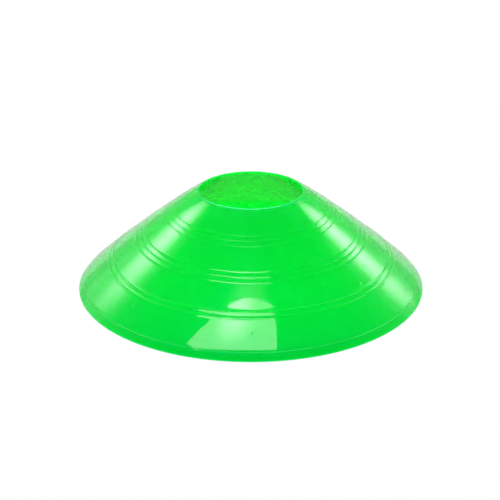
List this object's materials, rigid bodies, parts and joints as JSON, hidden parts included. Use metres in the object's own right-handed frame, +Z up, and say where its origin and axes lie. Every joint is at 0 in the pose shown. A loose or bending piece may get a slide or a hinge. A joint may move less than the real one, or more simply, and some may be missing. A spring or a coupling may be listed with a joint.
{
  "type": "sports marker cone",
  "caption": "Shallow hollow marker cone of translucent green plastic with a finger hole at the top, fine raised rings and a rim band at the foot, for marking out pitches and drills.",
  "frame": {"origin": "on the cone's axis, in the plane that the foot stands on", "axes": "+Z up along the cone's axis, from the foot to the hole; X and Y are alike, because the cone is round"},
  "size_m": [0.19, 0.19, 0.054],
  "materials": {
    "green_polyethylene": "glossy moulded soft polyethylene, slightly translucent"
  },
  "bodies": {
    "root": {"cone_shell": "green_polyethylene"}
  },
  "joints": []
}
